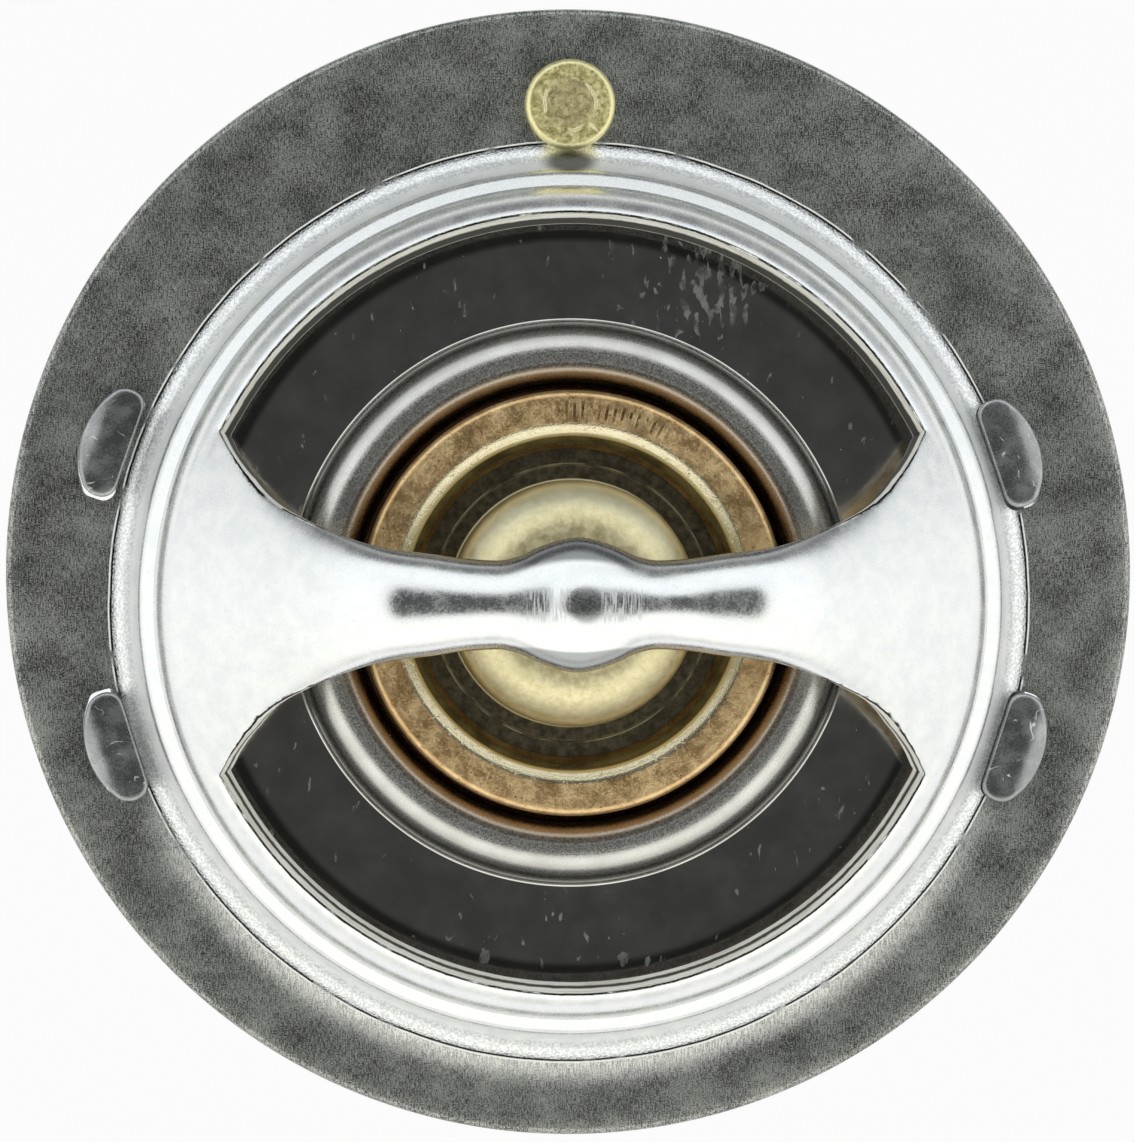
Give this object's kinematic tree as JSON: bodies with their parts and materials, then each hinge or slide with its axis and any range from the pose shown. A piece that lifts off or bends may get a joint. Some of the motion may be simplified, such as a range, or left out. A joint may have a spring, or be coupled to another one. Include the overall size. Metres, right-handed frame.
{
  "type": "engine thermostat",
  "caption": "Wax-element engine coolant valve with a round clamping flange, stepped neck, bridge, sprung valve plate and vent pin.",
  "frame": {"origin": "centre of the flange's rim on the flange's upper face", "axes": "+Z along the valve's axis towards the bridge, +Y from the rim's centre towards the jiggle pin, +X along the bridge"},
  "size_m": [0.054, 0.054, 0.0436],
  "materials": {
    "body_steel": "stamped stainless sheet, matte on the flange and bright on the neck and bridge",
    "frame_steel": "stamped stainless sheet, dull",
    "spring_steel": "drawn wire with ground ends",
    "plate_steel": "polished stainless sheet with dried water marks",
    "copper": "aged copper, bright where the crimp is rounded",
    "guide_brass": "satin turned brass",
    "washer_plastic": "pressed low-friction plastic",
    "boot_rubber": "moulded rubber",
    "wax": "wax charge",
    "piston_steel": "polished rod",
    "pin_brass": "worn brass"
  },
  "bodies": {
    "frame": {"flange_bridge": "body_steel", "lower_frame": "frame_steel", "piston": "piston_steel", "main_spring": "spring_steel"},
    "valve": {"valve_plate": "plate_steel", "element_cup": "copper", "guide_cover": "guide_brass", "backup_washer": "washer_plastic", "rubber_boot": "boot_rubber", "wax_pellet": "wax"},
    "vent_pin": {"jiggle_pin": "pin_brass"}
  },
  "joints": [
    {"name": "valve_lift", "type": "slide", "parent": "frame", "child": "valve", "axis": [0, 0, -1], "range_m": [0, 0.008], "stiffness_N_per_m": 6000, "springref_m": -0.008, "deforming": ["main_spring"]},
    {"name": "vent_pin_lift", "type": "slide", "parent": "frame", "child": "vent_pin", "axis": [0, 0, 1], "range_m": [0, 0.0014]}
  ]
}
